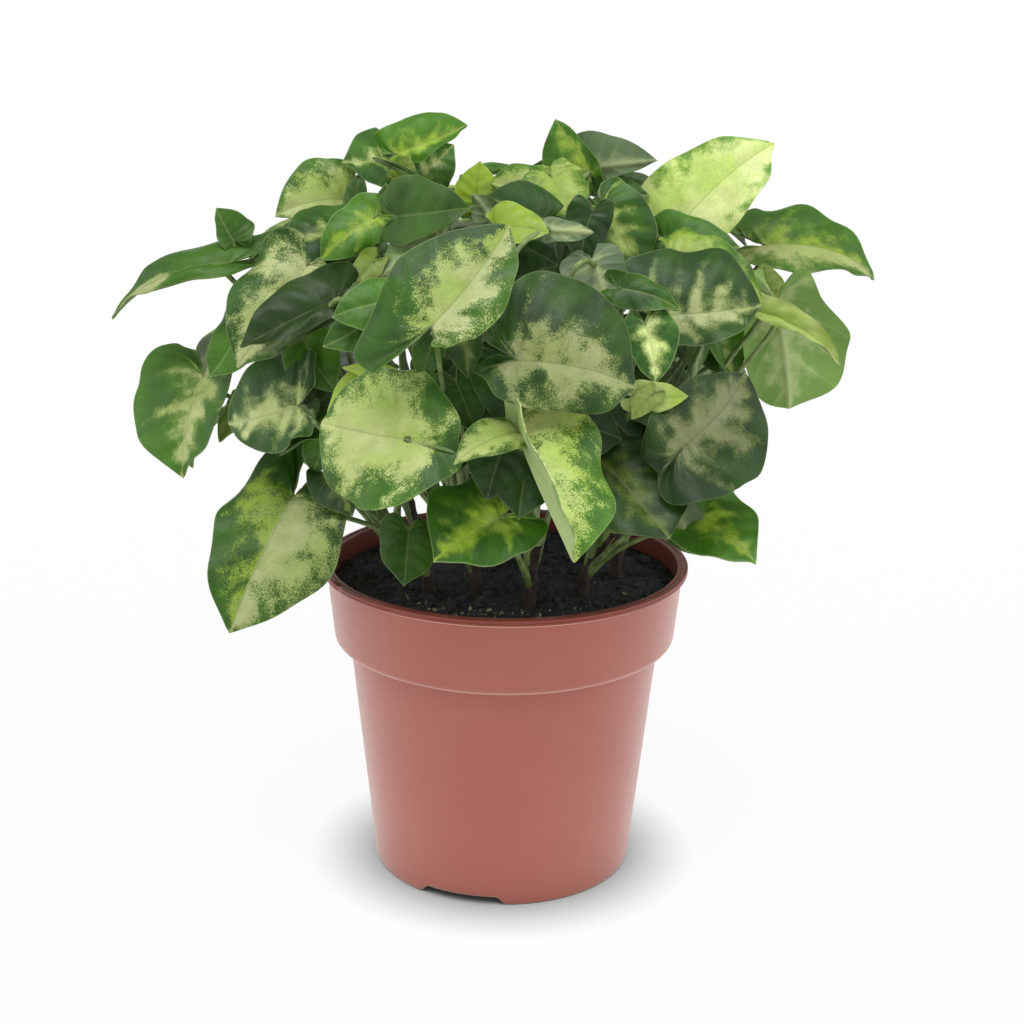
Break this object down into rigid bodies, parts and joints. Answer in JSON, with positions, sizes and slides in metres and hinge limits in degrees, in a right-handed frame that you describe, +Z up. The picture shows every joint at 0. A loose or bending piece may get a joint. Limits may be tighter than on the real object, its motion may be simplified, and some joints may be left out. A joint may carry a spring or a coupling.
{
  "type": "variegated arrowhead plant in a nursery pot",
  "caption": "Bushy arrowhead plant with cream-splashed heart-shaped leaves on long petioles, in a stepped terracotta-coloured plastic nursery pot full of dark peat.",
  "frame": {"origin": "middle of the pot's foot, on the surface that the pot stands on", "axes": "+Z up along the pot's axis, -Y towards someone who looks at the front of the plant, +X to their right"},
  "size_m": [0.2421, 0.2033, 0.2475],
  "materials": {
    "pot_plastic": "satin injection-moulded polypropylene, terracotta pink-brown",
    "peat": "loose damp peat compost with fibres and pale crumbs",
    "foliage": "satin living leaf, deep green with cream and lime variegation, pale petioles"
  },
  "bodies": {
    "root": {"pot": "pot_plastic", "soil": "peat", "leafy_stem_front_left": "foliage", "leafy_stem_left": "foliage", "leafy_stem_far_left": "foliage", "leafy_stem_top_left": "foliage", "leafy_stem_front_centre": "foliage", "leafy_stem_front": "foliage", "leafy_stem_front_right": "foliage", "leafy_stem_right": "foliage", "leafy_stem_top_right": "foliage", "leafy_stem_top": "foliage", "leafy_stem_back_left": "foliage", "leafy_stem_back": "foliage", "leafy_stem_back_right": "foliage"}
  },
  "joints": []
}
